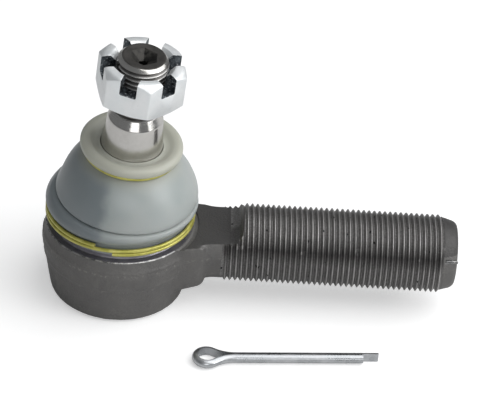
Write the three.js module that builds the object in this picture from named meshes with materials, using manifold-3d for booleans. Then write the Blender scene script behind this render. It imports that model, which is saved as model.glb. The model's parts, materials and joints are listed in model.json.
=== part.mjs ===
// Tie rod end: a forged housing with a threaded shank, a ball stud turning in a
// two-part plastic bearing, a dust boot with its clamp rings, a slotted nut and
// the split pin that locks it.
// Millimetres. +Z runs up the pot's axis from its flat base at Z = 0, +X along
// the shank. The stud, its nut and the top of the boot lean together.
import * as THREE from 'three';
import { mergeVertices } from 'three/addons/utils/BufferGeometryUtils.js';
import Module from 'manifold-3d';

const wasm = await Module();
wasm.setup();

const radians = THREE.MathUtils.degToRad;

// ---- Driving dimensions ----------------------------------------------------

const gap = 0.3;                  // clearance between pieces that touch or slide

// Stack in the bottom of the pot, from the base up
const rolledLip = 0.9;            // thickness of the lip rolled over the cover
const rolledLipReach = 1.9;       // how far that lip reaches in over the cover
const coverThickness = 1.8;
const coverBossRadius = 7;        // pressed-out centre, flush with the base
const springHeight = 1.2;         // free height of the conical disc spring
const springInnerRadius = 6;
const springRim = 2.2;            // the spring stops this far inside the bore
const springSheet = 0.7;

// Ball and bearing
const ballRadius = 12.5;
const bearingWall = 2.4;
const seatHoleRadius = 5;         // opening under the ball
const seatFloor = 2;
const shellReachDeg = 30;         // the upper shell holds the ball to this latitude
const retainingLip = 1.9;         // housing lip over the upper shell
const throatStep = 0.8;           // lip edge stands back from the shell's edge
const throatFlare = 1;

// Housing
const bossWall = 2.9;             // wall around the bearing bore, at the boot seat
const shoulderLedge = 2.3;        // machined ledge round the boot seat
const shankAxisZ = 16.7;          // parting plane of the forging
const neckFlatHeight = 5.2;       // flat above the shank's axis, level with the ledge
const draftDeg = 10;
const baseEdgeRound = 1.6;
const bossChamfer = 0.5;

// Neck and shank
const gussetEndX = 24.5;
const gussetFront = 11.4;         // half widths where it meets the neck
const gussetBack = 9.6;
const gussetDepth = 9.1;          // below the shank's axis
const gussetSpread = 0.22;        // widening per millimetre towards the pot
const gussetCorner = 4;
const neckRadius = 10.4;
const shankTipX = 94.8;
const shankPitch = 1.5;
const shankRadius = 11;
const threadStartX = 29.6;
const shankNose = 4.1;            // plain tapered end
const shankNoseRadius = 9.1;
const flatEndX = 29.6;
const flatRunOutRadius = 5;

// Ball stud, measured along its own axis from the ball's centre
const leanToShankDeg = 3.9;
const leanToFrontDeg = 4.3;
const studReach = 60.75;           // ball centre to tip
const studNeckRadius = 6.3;
const studNeckLength = 2;
const studFlare = 5.5;
const largeEndRadius = 8.6;
const smallEndRadius = 7.6;
const taperLength = 9.55;
const bevelLength = 3;
const studThreadLength = 17.2;
const studThreadRadius = 7;
const studPitch = 1.5;
const tipChamfer = 0.8;
const socketFlats = 6;
const socketDepth = 3.2;
const ballFlatRadius = 3;
const threadClear = 0.4;          // blanks and cores stand off crests and roots by this

// Slotted nut
const nutFlats = 22;
const nutHeight = 11.1;
const nutHexHeight = 6.25;         // solid part below the slots
const slotWidth = 4.7;
const tipProud = 1.6;             // stud stands out of the nut by this much
const nutTurnDeg = -77.7;
const nutTopChamfer = 3.1;

// Split pin
const pinRadius = 1.6;
const pinHoleRadius = 1.9;
const pinLegs = [47.6, 43.2];     // long and short, from the eye's centre
const pinEyeRadius = 3.4;
const pinLegGap = 0.4;
const pinEyeAt = [26.1, -33.7];
const pinTurnDeg = 4.8;

// Dust boot and clamp rings
const bootWall = 1.6;
const bootLipWall = 0.9;
const bootLipLift = 2.1;          // lip stands this far above the shoulder
const wireDiameter = 1.1;
const foldLift = 4.8;             // fold between skirt and dome, above the boss
const skirtBulge = 2.9;           // beyond the boss
const domeBulge = 1.5;            // beyond the boss
const leanRise = 3;               // the dome leans fully from this far above the fold
const collarLength = 4.2;
const collarWall = 2.4;
const flangeRadius = 14.1;
const flangeThickness = 3.0;
const flangeDish = 1.6;

// ---- Dimensions that follow from them --------------------------------------

const coverZ = rolledLip + gap;
const springZ = coverZ + coverThickness + gap;
const seatZ = springZ + springHeight + gap;
const seatRadius = ballRadius + gap;
const ballCentreZ = seatZ + seatFloor + Math.sqrt(seatRadius ** 2 - seatHoleRadius ** 2);
const bearingRadius = seatRadius + bearingWall;
const boreRadius = bearingRadius + gap;
const shellTopZ = ballCentreZ + ballRadius * Math.sin(radians(shellReachDeg));
const shellMouth = Math.sqrt(seatRadius ** 2 - (shellTopZ - ballCentreZ) ** 2);
const lipUnderZ = shellTopZ + gap;
const bossTopZ = lipUnderZ + retainingLip;
const bossRadius = boreRadius + bossWall;
const rimRadius = bossRadius + shoulderLedge;
const shoulderZ = shankAxisZ + neckFlatHeight;
const potRadius = rimRadius + neckFlatHeight * Math.tan(radians(draftDeg));
const threadDepth = (pitch) => 0.6134 * pitch;

const taperEnd = studReach - studThreadLength - bevelLength;
const taperStart = taperEnd - taperLength;
const nutSeat = studReach - tipProud - nutHeight;

// ---- Helpers ---------------------------------------------------------------

// Shared vertices merged and triangles without area dropped, so it is closed.
function closed(geometry) {
  const bare = geometry.clone();
  bare.deleteAttribute('normal');
  bare.deleteAttribute('uv');
  const merged = mergeVertices(bare, 1e-4);
  const corners = merged.index.array;
  const kept = [];
  for (let i = 0; i < corners.length; i += 3) {
    const [a, b, c] = [corners[i], corners[i + 1], corners[i + 2]];
    if (a !== b && b !== c && c !== a) kept.push(a, b, c);
  }
  merged.setIndex(kept);
  return merged;
}

function solid(geometry) {
  const shape = closed(geometry);
  return new wasm.Manifold(new wasm.Mesh({
    numProp: 3,
    vertProperties: new Float32Array(shape.attributes.position.array),
    triVerts: new Uint32Array(shape.index.array),
  }));
}

function geometryOf(manifold) {
  const mesh = manifold.getMesh();
  const geometry = new THREE.BufferGeometry();
  geometry.setAttribute('position', new THREE.BufferAttribute(mesh.vertProperties, 3));
  geometry.setIndex(new THREE.BufferAttribute(mesh.triVerts, 1));
  return geometry;
}

// Revolves [radius, height] points, listed anticlockwise, about +Z.
function turned(points, segments = 56) {
  const outline = points.map(([r, z]) => new THREE.Vector2(Math.max(r, 0), z));
  if (points[0][0] > 0 || points.at(-1)[0] > 0) outline.push(outline[0].clone());
  return new THREE.LatheGeometry(outline, segments).rotateX(Math.PI / 2);
}

// Points of an arc as [x, y] pairs, from one angle to another in degrees.
function arc(cx, cy, radius, from, to, steps, radiusY = radius) {
  return Array.from({ length: steps + 1 }, (_, i) => {
    const angle = radians(from + (to - from) * i / steps);
    return [cx + radius * Math.cos(angle), cy + radiusY * Math.sin(angle)];
  });
}

// Closed skin over rings of points, with a fan over each end.
function skinned(rings) {
  const count = rings[0].length;
  const middle = (ring) => ring.reduce((sum, p) => sum.add(p), new THREE.Vector3())
    .divideScalar(ring.length);
  const points = [...rings.flat(), middle(rings[0]), middle(rings.at(-1))];
  const [first, last] = [points.length - 2, points.length - 1];
  const index = [];
  for (let side = 0; side < count; side += 1) {
    const next = (side + 1) % count;
    for (let ring = 0; ring + 1 < rings.length; ring += 1) {
      const [low, high] = [ring * count, (ring + 1) * count];
      index.push(low + side, low + next, high + next, low + side, high + next, high + side);
    }
    const top = (rings.length - 1) * count;
    index.push(first, next, side, last, top + side, top + next);
  }
  return new THREE.BufferGeometry().setFromPoints(points).setIndex(index);
}

// Helical V thread about +Z, rows alternating root and crest. Its ends are
// trimmed by a blank that stands clear of the crests between its chamfers.
function threadRod(radius, pitch, from, to, segments) {
  const root = radius - threadDepth(pitch);
  const rows = 2 * Math.ceil((to - from) / pitch + 2);
  const start = from - pitch;
  const points = [];
  const vertex = (row, column) => {
    const angle = 2 * Math.PI * column / segments;
    const r = row % 2 ? radius : root;
    const z = start + pitch * (row / 2 + column / segments);
    return new THREE.Vector3(r * Math.cos(angle), r * Math.sin(angle), z);
  };
  for (let row = 0; row <= rows; row += 1) {
    for (let column = 0; column < segments; column += 1) points.push(vertex(row, column));
  }
  points.push(vertex(rows + 1, 0), vertex(rows + 2, 0));
  points.push(new THREE.Vector3(0, 0, start), new THREE.Vector3(0, 0, points.at(-1).z));
  const [lowEnd, highEnd] = [points.length - 2, points.length - 1];
  // The last column of a row is the first column two rows, one turn, higher.
  const at = (row, column) => {
    if (column < segments) return row <= rows ? row * segments + column
      : (rows + 1) * segments + row - rows - 1;
    return at(row + 2, 0);
  };
  const index = [];
  for (let row = 0; row < rows; row += 1) {
    for (let column = 0; column < segments; column += 1) {
      const [a, b] = [at(row, column), at(row, column + 1)];
      const [c, d] = [at(row + 1, column + 1), at(row + 1, column)];
      index.push(a, b, c, a, c, d);
    }
  }
  const rim = (row) => [
    ...Array.from({ length: segments + 1 }, (_, column) => at(row, column)),
    at(row + 1, 0),
  ];
  const [low, high] = [rim(0), rim(rows)];
  low.forEach((corner, i) => index.push(lowEnd, low[(i + 1) % low.length], corner));
  high.forEach((corner, i) => index.push(highEnd, corner, high[(i + 1) % high.length]));
  return new THREE.BufferGeometry().setFromPoints(points).setIndex(index);
}

function material(color, roughness, metalness) {
  return new THREE.MeshStandardMaterial({ color, roughness, metalness });
}

function piece(name, geometry, finish, parent) {
  const mesh = new THREE.Mesh(geometry, finish);
  mesh.name = name;
  parent.add(mesh);
  return mesh;
}

// ---- Housing ---------------------------------------------------------------

function potBlank() {
  const draft = Math.tan(radians(draftDeg));
  const baseRadius = potRadius - shankAxisZ * draft;
  const edge = baseRadius - baseEdgeRound;
  return turned([
    [0, 0],
    ...arc(edge, baseEdgeRound, baseEdgeRound, -90, -draftDeg, 4),
    [potRadius, shankAxisZ],
    [rimRadius, shoulderZ],
    [bossRadius, shoulderZ],
    [bossRadius, bossTopZ - bossChamfer],
    [bossRadius - bossChamfer, bossTopZ],
    [0, bossTopZ],
  ], 64);
}

function potCavity() {
  const past = 1;
  const lipEdge = boreRadius - rolledLipReach;
  return turned([
    [0, -past],
    [lipEdge, -past],
    [lipEdge, rolledLip],
    [boreRadius, rolledLip],
    [boreRadius, lipUnderZ],
    [shellMouth + throatStep, lipUnderZ],
    [shellMouth + throatStep + throatFlare, bossTopZ],
    [shellMouth + throatStep + throatFlare, bossTopZ + past],
    [0, bossTopZ + past],
  ], 64);
}

// Section across the neck: flat on top, rounded corners below.
function neckSection(x, spread) {
  const bottom = shankAxisZ - gussetDepth - spread;
  const [front, back] = [-gussetFront - spread, gussetBack + spread];
  const corner = gussetCorner;
  const outline = [
    [back, shoulderZ],
    [front, shoulderZ],
    ...arc(front + corner, bottom + corner, corner, 180, 270, 6),
    ...arc(back - corner, bottom + corner, corner, 270, 360, 6),
  ];
  return outline.map(([y, z]) => new THREE.Vector3(x, y, z));
}

function gusset() {
  const inside = bossRadius - bossWall;
  const spread = (gussetEndX - inside) * gussetSpread;
  return skinned([neckSection(inside, spread), neckSection(gussetEndX, 0)]);
}

function alongShank(geometry) {
  return geometry.rotateY(Math.PI / 2).translate(0, 0, shankAxisZ);
}

function shank() {
  const root = shankRadius - threadDepth(shankPitch);
  const clear = shankRadius + threadClear;
  const noseX = shankTipX - shankNose;
  const core = alongShank(turned([
    [0, bossRadius],
    [neckRadius + 0.8, gussetEndX - 1],
    [neckRadius, gussetEndX + 1.2],
    [neckRadius, threadStartX],
    [root - threadClear, threadStartX + 1],
    [root - threadClear, noseX - 0.8],
    [root + 0.2, noseX],
    [shankNoseRadius + 0.5, shankTipX - 0.5],
    [shankNoseRadius, shankTipX],
    [0, shankTipX],
  ], 48));
  const blank = alongShank(turned([
    [0, threadStartX - 1],
    [neckRadius - 0.3, threadStartX - 1],
    [clear, threadStartX + 1.2],
    [clear, noseX - 1],
    [root - 0.5, noseX + 0.6],
    [0, noseX + 0.6],
  ], 48));
  const rod = alongShank(threadRod(shankRadius, shankPitch, threadStartX - 1, noseX + 1, 20));
  return solid(core).add(solid(rod).intersect(solid(blank)));
}

// What is milled away above the neck: level, then rising along the cutter.
function flatCutter() {
  const r = flatRunOutRadius;
  const reach = shankRadius + 4;
  const outline = new THREE.Shape([
    [bossRadius, shoulderZ],
    ...arc(flatEndX, shoulderZ + r, r, -90, 0, 10),
    [flatEndX + r, shoulderZ + reach],
    [bossRadius, shoulderZ + reach],
  ].map(([x, y]) => new THREE.Vector2(x, y)));
  return new THREE.ExtrudeGeometry(outline, { depth: 2 * reach, bevelEnabled: false })
    .translate(0, 0, -reach).rotateX(Math.PI / 2);
}

function housing() {
  return geometryOf(solid(potBlank())
    .add(solid(gusset()))
    .add(shank())
    .subtract(solid(flatCutter()))
    .subtract(solid(potCavity())));
}

// ---- Bearing, spring and cover ---------------------------------------------

const bearingSplitZ = ballCentreZ - gap / 2;

function lowerBearing() {
  const low = Math.asin((seatRadius ** 2 - seatHoleRadius ** 2) ** 0.5 / seatRadius);
  return turned([
    [seatHoleRadius, seatZ],
    [bearingRadius - 1, seatZ],
    [bearingRadius, seatZ + 1],
    [bearingRadius, bearingSplitZ],
    ...arc(0, ballCentreZ, seatRadius, -1, -THREE.MathUtils.radToDeg(low), 6),
  ], 40);
}

function upperBearing() {
  const high = Math.asin((shellTopZ - ballCentreZ) / seatRadius);
  return turned([
    [bearingRadius, bearingSplitZ + gap],
    [bearingRadius, shellTopZ],
    ...arc(0, ballCentreZ, seatRadius, THREE.MathUtils.radToDeg(high), 1, 3),
  ], 40);
}

function pressureSpring() {
  const outer = boreRadius - springRim;
  return turned([
    [outer, springZ],
    [outer, springZ + springSheet],
    [springInnerRadius, springZ + springHeight],
    [springInnerRadius, springZ + springHeight - springSheet],
  ], 48);
}

function coverPlate() {
  const edge = boreRadius - gap;
  const web = coverBossRadius + 1.5;
  return turned([
    [0, 0],
    [coverBossRadius, 0],
    [web, coverZ],
    [edge, coverZ],
    [edge, coverZ + coverThickness],
    [web - 1, coverZ + coverThickness],
    [coverBossRadius - 1, coverThickness],
    [0, coverThickness],
  ], 48);
}

// ---- Ball stud -------------------------------------------------------------

function ballStud() {
  const root = studThreadRadius - threadDepth(studPitch);
  const clear = studThreadRadius + threadClear;
  const ballFlat = Math.sqrt(ballRadius ** 2 - ballFlatRadius ** 2);
  const neckFoot = Math.sqrt(ballRadius ** 2 - studNeckRadius ** 2);
  const latitude = (height) => THREE.MathUtils.radToDeg(Math.asin(height / ballRadius));
  const landStart = neckFoot + studNeckLength + studFlare;
  const threadStart = taperEnd + bevelLength;
  const body = turned([
    [0, -ballFlat],
    ...arc(0, 0, ballRadius, latitude(-ballFlat), latitude(neckFoot), 14),
    [studNeckRadius, neckFoot + studNeckLength],
    [(studNeckRadius + largeEndRadius) / 2, neckFoot + studNeckLength + studFlare / 2],
    [largeEndRadius, landStart],
    [largeEndRadius, taperStart],
    [smallEndRadius, taperEnd],
    [root - threadClear, threadStart],
    [root - threadClear, studReach - 2 * tipChamfer],
    [0, studReach - 2 * tipChamfer],
  ], 36);
  const blank = turned([
    [0, threadStart - 0.6],
    [root + 0.2, threadStart - 0.6],
    [clear, threadStart + 0.7],
    [clear, studReach - tipChamfer - threadClear],
    [studThreadRadius - tipChamfer, studReach],
    [0, studReach],
  ], 36);
  const rod = threadRod(studThreadRadius, studPitch, threadStart - 1, studReach + 1, 16);
  const hole = new THREE.CylinderGeometry(pinHoleRadius, pinHoleRadius, 4 * studThreadRadius, 20);
  hole.rotateZ(Math.PI / 2).rotateZ(radians(nutTurnDeg + 90));
  hole.translate(0, 0, nutSeat + (nutHexHeight + nutHeight) / 2);
  const socketCorner = socketFlats / 2 / Math.cos(Math.PI / 6);
  const socket = new THREE.CylinderGeometry(socketCorner, socketCorner, 2 * socketDepth, 6);
  socket.rotateX(Math.PI / 2).translate(0, 0, studReach);
  return geometryOf(solid(body)
    .add(solid(rod).intersect(solid(blank)))
    .subtract(solid(hole))
    .subtract(solid(socket)));
}

// ---- Slotted nut -----------------------------------------------------------

function castleNut() {
  const corner = nutFlats / 2 / Math.cos(Math.PI / 6);
  const hex = new THREE.CylinderGeometry(corner, corner, nutHeight, 6);
  hex.rotateX(Math.PI / 2).rotateZ(Math.PI / 6).translate(0, 0, nutHeight / 2);
  const facing = turned([
    [0, 0],
    [nutFlats / 2, 0],
    [corner + 0.3, 1],
    [corner + 0.3, nutHeight - nutTopChamfer],
    [nutFlats / 2 - 0.5, nutHeight],
    [0, nutHeight],
  ], 60);
  const boreRim = studThreadRadius + gap;
  const bore = turned([
    [0, -1],
    [boreRim + 1.9, -1],
    [boreRim, 0.9],
    [boreRim, nutHeight + 1],
    [0, nutHeight + 1],
  ], 36);
  let nut = solid(hex).intersect(solid(facing)).subtract(solid(bore));
  const slotDepth = nutHeight - nutHexHeight;
  for (const turn of [30, 90, 150]) {
    const slot = new THREE.BoxGeometry(4 * corner, slotWidth, 2 * slotDepth);
    slot.rotateZ(radians(turn)).translate(0, 0, nutHeight);
    nut = nut.subtract(solid(slot));
  }
  return geometryOf(nut);
}

// ---- Dust boot and clamp rings ---------------------------------------------

const bootLipZ = shoulderZ + bootLipLift;
const bootGrooveRadius = bossRadius + gap + bootLipWall;
const ringRadius = bootGrooveRadius + gap + wireDiameter / 2;
const ringZ = bootLipZ + gap + wireDiameter / 2;
const foldZ = bossTopZ + foldLift;
const collarTopZ = ballCentreZ + taperStart;
const collarOuter = largeEndRadius + gap + collarWall;
const collarRootZ = collarTopZ + flangeDish - flangeThickness - wireDiameter - 2 * gap;

// The boot's top follows the stud and its skirt stays on the housing: points are
// turned about the ball's centre by a growing share of the lean.
function leaned(geometry) {
  const position = geometry.attributes.position;
  const centre = new THREE.Vector3(0, 0, ballCentreZ);
  const point = new THREE.Vector3();
  for (let i = 0; i < position.count; i += 1) {
    point.fromBufferAttribute(position, i);
    const share = THREE.MathUtils.smoothstep(point.z, bossTopZ, foldZ + leanRise);
    const turn = new THREE.Euler(
      radians(leanToFrontDeg) * share, radians(leanToShankDeg) * share, 0, 'YXZ');
    point.sub(centre).applyEuler(turn).add(centre);
    position.setXYZ(i, point.x, point.y, point.z);
  }
  return geometry;
}

function boot() {
  const skirt = bossRadius + skirtBulge;
  const dome = bossRadius + domeBulge;
  const valley = bossRadius + 0.6;
  const domeZ = foldZ - 1.9;
  const topDeg = THREE.MathUtils.radToDeg(Math.acos((collarOuter + 0.9) / dome));
  const domeRise = (collarRootZ - domeZ) / Math.sin(radians(topDeg));
  const flangeZ = collarTopZ + flangeDish - flangeThickness;
  const inset = 0.5;
  const outside = [
    [bootGrooveRadius, bootLipZ],
    [bootGrooveRadius, ringZ + 1.5 * wireDiameter + gap],
    [skirt - 0.6, ringZ + 2 * wireDiameter + gap],
    [skirt, (bossTopZ + foldZ) / 2 - 0.8],
    [skirt - 0.5, foldZ - 1.3],
    [valley, foldZ],
    ...arc(0, domeZ, dome, 9, topDeg, 6, domeRise),
    [collarOuter, collarRootZ + gap],
    [collarOuter, flangeZ],
    [flangeRadius - inset, flangeZ],
    [flangeRadius, flangeZ + inset],
    [flangeRadius, flangeZ + flangeThickness - inset],
    [flangeRadius - inset, flangeZ + flangeThickness],
    [flangeRadius - 1.8, flangeZ + flangeThickness],
    [largeEndRadius + gap, collarTopZ],
  ];
  const inside = [
    [largeEndRadius + gap, collarTopZ - collarLength],
    ...arc(0, domeZ, dome - bootWall, topDeg - 4, 12, 4, domeRise - bootWall),
    [valley - bootWall, foldZ + 0.4],
    [valley - bootWall, foldZ - 0.7],
    [skirt - 0.5 - bootWall, foldZ - 2],
    [skirt - bootWall, (bossTopZ + foldZ) / 2 - 1],
    [bossRadius + gap, bossTopZ - 0.3],
    [bossRadius + gap, bootLipZ],
  ];
  return leaned(closed(turned([...outside, ...inside], 40)));
}

// Two turns of round wire, one on the other.
function lowerRing() {
  const r = wireDiameter / 2;
  return turned([
    ...arc(ringRadius, ringZ, r, -135, 45, 4),
    ...arc(ringRadius, ringZ + wireDiameter, r, -45, 225, 5),
  ], 40);
}

function upperRing() {
  const height = collarRootZ - ballCentreZ + gap + wireDiameter / 2;
  const radius = collarOuter + gap + wireDiameter / 2;
  return turned(arc(radius, height, wireDiameter / 2, 0, 300, 5), 40);
}

// ---- Split pin -------------------------------------------------------------

// Half-round wire swept along one leg, round the eye and back along the other,
// its flat side always inwards.
function splitPin() {
  const thick = pinRadius - pinLegGap / 2;
  const legY = pinLegGap / 2;
  const bend = 8;
  const inner = pinEyeRadius - thick / 2;
  const eye = arc(0, 0, inner, 50, 310, 20);
  const upper = [[pinLegs[0], legY], [bend, legY], [bend - 2, legY + 0.15]];
  const lower = [[bend - 2, -legY - 0.15], [bend, -legY], [pinLegs[1], -legY]];
  const path = [...upper, [bend - 3.8, legY + 1], ...eye, [bend - 3.8, -legY - 1], ...lower];
  const section = arc(0, pinRadius, thick, 90, -90, 8, pinRadius);
  const rings = path.map(([x, y], i) => {
    const [x0, y0] = path[Math.max(i - 1, 0)];
    const [x1, y1] = path[Math.min(i + 1, path.length - 1)];
    const long = Math.hypot(x1 - x0, y1 - y0);
    const [nx, ny] = [(y1 - y0) / long, (x0 - x1) / long];
    return section.map(([out, z]) => new THREE.Vector3(x + out * nx, y + out * ny, z));
  });
  return skinned(rings);
}

// ---- Assembly --------------------------------------------------------------

const forged = material(0x4d4c4b, 0.62, 0.75);
const bearingPlastic = material(0xdedbd0, 0.5, 0);
const springSteel = material(0x53575c, 0.4, 0.9);
const plated = material(0xb9c0c4, 0.3, 0.95);
const ground = material(0xa6a29c, 0.2, 1);
const bootPlastic = material(0x9aa5a5, 0.45, 0);
const lacqueredWire = material(0xb3b05c, 0.45, 0.4);

const tieRodEnd = new THREE.Group();

piece('housing', housing(), forged, tieRodEnd);
piece('cover_plate', closed(coverPlate()), plated, tieRodEnd);
piece('pressure_spring', closed(pressureSpring()), springSteel, tieRodEnd);
piece('lower_bearing', closed(lowerBearing()), bearingPlastic, tieRodEnd);
piece('upper_bearing', closed(upperBearing()), bearingPlastic, tieRodEnd);
piece('boot', boot(), bootPlastic, tieRodEnd);
piece('boot_lower_ring', closed(lowerRing()), lacqueredWire, tieRodEnd);

const studAxis = new THREE.Group();
studAxis.position.set(0, 0, ballCentreZ);
studAxis.rotation.set(radians(leanToFrontDeg), radians(leanToShankDeg), 0, 'YXZ');
tieRodEnd.add(studAxis);

piece('ball_stud', ballStud(), ground, studAxis);
piece('boot_upper_ring', closed(upperRing()), lacqueredWire, studAxis);
const nut = piece('castle_nut', castleNut(), plated, studAxis);
nut.position.z = nutSeat;
nut.rotation.z = radians(nutTurnDeg);

const pin = piece('split_pin', closed(splitPin()), plated, tieRodEnd);
pin.position.set(pinEyeAt[0], pinEyeAt[1], 0);
pin.rotation.z = radians(pinTurnDeg);

export default tieRodEnd;
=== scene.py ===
import json
import math

import bmesh
import bpy
from mathutils import Matrix, Vector


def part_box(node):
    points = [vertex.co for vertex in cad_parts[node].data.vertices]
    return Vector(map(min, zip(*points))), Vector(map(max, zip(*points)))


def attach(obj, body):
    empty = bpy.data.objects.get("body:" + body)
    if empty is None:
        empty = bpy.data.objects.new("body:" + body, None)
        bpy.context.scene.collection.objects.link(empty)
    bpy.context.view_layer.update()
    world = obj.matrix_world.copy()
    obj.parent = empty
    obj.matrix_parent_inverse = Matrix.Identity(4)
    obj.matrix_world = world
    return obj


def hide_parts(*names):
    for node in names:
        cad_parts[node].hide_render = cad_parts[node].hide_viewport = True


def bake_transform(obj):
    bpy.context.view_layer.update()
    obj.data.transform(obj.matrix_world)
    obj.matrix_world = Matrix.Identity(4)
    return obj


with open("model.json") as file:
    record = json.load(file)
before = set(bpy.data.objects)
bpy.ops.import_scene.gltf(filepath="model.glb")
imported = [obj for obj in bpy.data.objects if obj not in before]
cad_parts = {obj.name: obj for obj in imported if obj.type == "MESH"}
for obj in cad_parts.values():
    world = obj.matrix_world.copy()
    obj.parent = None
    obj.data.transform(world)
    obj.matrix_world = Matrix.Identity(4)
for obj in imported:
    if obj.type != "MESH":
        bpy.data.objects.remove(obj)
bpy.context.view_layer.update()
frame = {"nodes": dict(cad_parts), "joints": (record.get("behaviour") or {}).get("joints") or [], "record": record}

mm = 0.001
scene = bpy.context.scene
mounts = {mount["name"]: mount for mount in frame["record"]["mounts"]}
joints = {joint["name"]: joint for joint in frame["joints"]}

# Places taken from the frame

ballCentre = Vector(joints["tilt_along_shank"]["pos_m"])
studAxis = -Vector(mounts["nut_seat"]["axis"]).normalized()
nutSeat = (Vector(mounts["nut_seat"]["pos_m"]) - ballCentre).dot(studAxis)
leanToFront = math.asin(-studAxis.y)
leanToShank = math.atan2(studAxis.x, studAxis.z)
studPlace = (Matrix.Translation(ballCentre) @ Matrix.Rotation(leanToShank, 4, "Y")
             @ Matrix.Rotation(leanToFront, 4, "X"))
shankZ = mounts["shank_thread"]["pos_m"][2]
housingLow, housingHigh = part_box("housing")
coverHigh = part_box("cover_plate")[1]


# Workshop: what the pieces are made with

def alone(piece):
    if bpy.context.mode != "OBJECT":
        bpy.ops.object.mode_set(mode="OBJECT")
    bpy.ops.object.select_all(action="DESELECT")
    piece.select_set(True)
    bpy.context.view_layer.objects.active = piece


def edit(piece, kind="VERT"):
    alone(piece)
    bpy.ops.object.mode_set(mode="EDIT")
    bpy.ops.mesh.select_mode(type=kind)


def done():
    bpy.ops.object.mode_set(mode="OBJECT")


def selectAll():
    bpy.ops.mesh.select_all(action="SELECT")


def selectNone():
    bpy.ops.mesh.select_all(action="DESELECT")


def mergeDoubles(gap=0.004 * mm):
    selectAll()
    bpy.ops.mesh.remove_doubles(threshold=gap)


def normalsOut():
    selectAll()
    bpy.ops.mesh.normals_make_consistent(inside=False)


def keepVerts(piece, test):  # in edit mode: selects the corners that pass the test
    selectNone()
    mesh = bmesh.from_edit_mesh(piece.data)
    for vert in mesh.verts:
        vert.select_set(test(vert.co))
    mesh.select_flush_mode()
    bmesh.update_edit_mesh(piece.data)


def placed(piece, place):  # the place goes into the mesh, the object stays at the origin
    alone(piece)
    piece.matrix_world = place @ piece.matrix_world
    bpy.ops.object.transform_apply(location=True, rotation=True, scale=True)
    return piece


def block(size, centre=(0, 0, 0)):
    bpy.ops.mesh.primitive_cube_add(size=1, location=(0, 0, 0))
    piece = bpy.context.object
    piece.scale, piece.location = size, centre
    bpy.ops.object.transform_apply(location=True, rotation=True, scale=True)
    return piece


def roundEdges(piece, offset, segments, test):  # in edit mode: the edges whose two ends pass
    for line in bmesh.from_edit_mesh(piece.data).edges:
        line.select_set(test(*(vert.co for vert in line.verts)))
    bpy.ops.mesh.bevel(offset=offset, segments=segments, affect="EDGES")


def arc(centre, radius, start, end, steps, tall=None):
    turns = [math.radians(start + (end - start) * i / steps) for i in range(steps + 1)]
    tall = radius if tall is None else tall
    return [(centre[0] + radius * math.cos(t), centre[1] + tall * math.sin(t), 0) for t in turns]


def eased(corners, steps=4):  # rounds each corner (radius, height, round) of an outline
    outline = []
    for i, (r, z, ease) in enumerate(corners):
        corner = Vector((r, z))
        if not ease or i in (0, len(corners) - 1):
            outline.append(corner)
            continue
        back = Vector(corners[i - 1][:2]) - corner
        ahead = Vector(corners[i + 1][:2]) - corner
        reach = min(ease, 0.48 * back.length, 0.48 * ahead.length)
        a, b = corner + back.normalized() * reach, corner + ahead.normalized() * reach
        for k in range(steps + 1):
            t = k / steps
            outline.append((1 - t) ** 2 * a + 2 * t * (1 - t) * corner + t ** 2 * b)
    return outline


def traced(name, outline):  # a chain of edges in the XZ plane, extruded point by point
    bpy.ops.mesh.primitive_plane_add(size=mm, location=(0, 0, 0))
    piece = bpy.context.object
    piece.name = name
    edit(piece)
    selectAll()
    bpy.ops.mesh.merge(type="CENTER")
    bpy.ops.transform.translate(value=(outline[0][0], 0, outline[0][1]))
    for a, b in zip(outline, outline[1:]):
        step = (b[0] - a[0], 0, b[1] - a[1])
        bpy.ops.mesh.extrude_region_move(TRANSFORM_OT_translate={"value": step})
    return piece


def spun(name, corners, steps=128, turn=360, easing=4):
    piece = traced(name, eased(corners, easing))
    selectAll()
    bpy.ops.mesh.spin(steps=steps, angle=math.radians(turn), center=(0, 0, 0), axis=(0, 0, 1))
    mergeDoubles()
    if turn < 360:
        selectNone()
        bpy.ops.mesh.select_non_manifold()
        bpy.ops.mesh.edge_face_add()
    normalsOut()
    done()
    return piece


def applied(piece, kind, **settings):
    alone(piece)
    modifier = piece.modifiers.new(kind.title(), kind)
    for key, value in settings.items():
        setattr(modifier, key, value)
    bpy.ops.object.modifier_apply(modifier=modifier.name)
    return piece


def joined(piece, tool, operation):
    applied(piece, "BOOLEAN", operation=operation, object=tool, solver="MANIFOLD")
    bpy.data.objects.remove(tool)
    return piece


def thread(name, radius, depth, pitch, start, length, steps):
    crest, root = radius, radius - depth
    outline = eased([(root, 0, 0), (root, 0.06 * pitch, 0.1 * pitch),
                     (crest, 0.45 * pitch, 0.1 * pitch), (crest, 0.55 * pitch, 0.1 * pitch),
                     (root, 0.94 * pitch, 0.1 * pitch), (root, pitch, 0)], 2)
    piece = traced(name, [point + Vector((0, start)) for point in outline])
    done()
    turns = math.ceil(length / pitch) + 1
    applied(piece, "SCREW", angle=2 * math.pi, screw_offset=pitch, iterations=turns, steps=steps,
            render_steps=steps, use_merge_vertices=True, merge_threshold=0.002 * mm)
    middle = start + length / 2
    edit(piece)
    mergeDoubles()
    for side in (-1, 1):  # each end is closed by a fan
        selectNone()
        bpy.ops.mesh.select_non_manifold()
        chosen = bmesh.from_edit_mesh(piece.data)
        for vert in chosen.verts:
            if (vert.co.z - middle) * side < 0:
                vert.select_set(False)
        chosen.select_flush_mode()
        bpy.ops.mesh.extrude_edges_move()
        bpy.ops.mesh.merge(type="CENTER")
    normalsOut()
    done()
    return piece


def polyline(name, points):
    bpy.ops.curve.primitive_nurbs_path_add(location=(0, 0, 0))
    piece = bpy.context.object
    piece.name = name
    piece.data.splines.clear()
    line = piece.data.splines.new("POLY")
    line.points.add(len(points) - 1)
    for i, point in enumerate(points):
        line.points[i].co = (*point, 1)
    return piece, line


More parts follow.
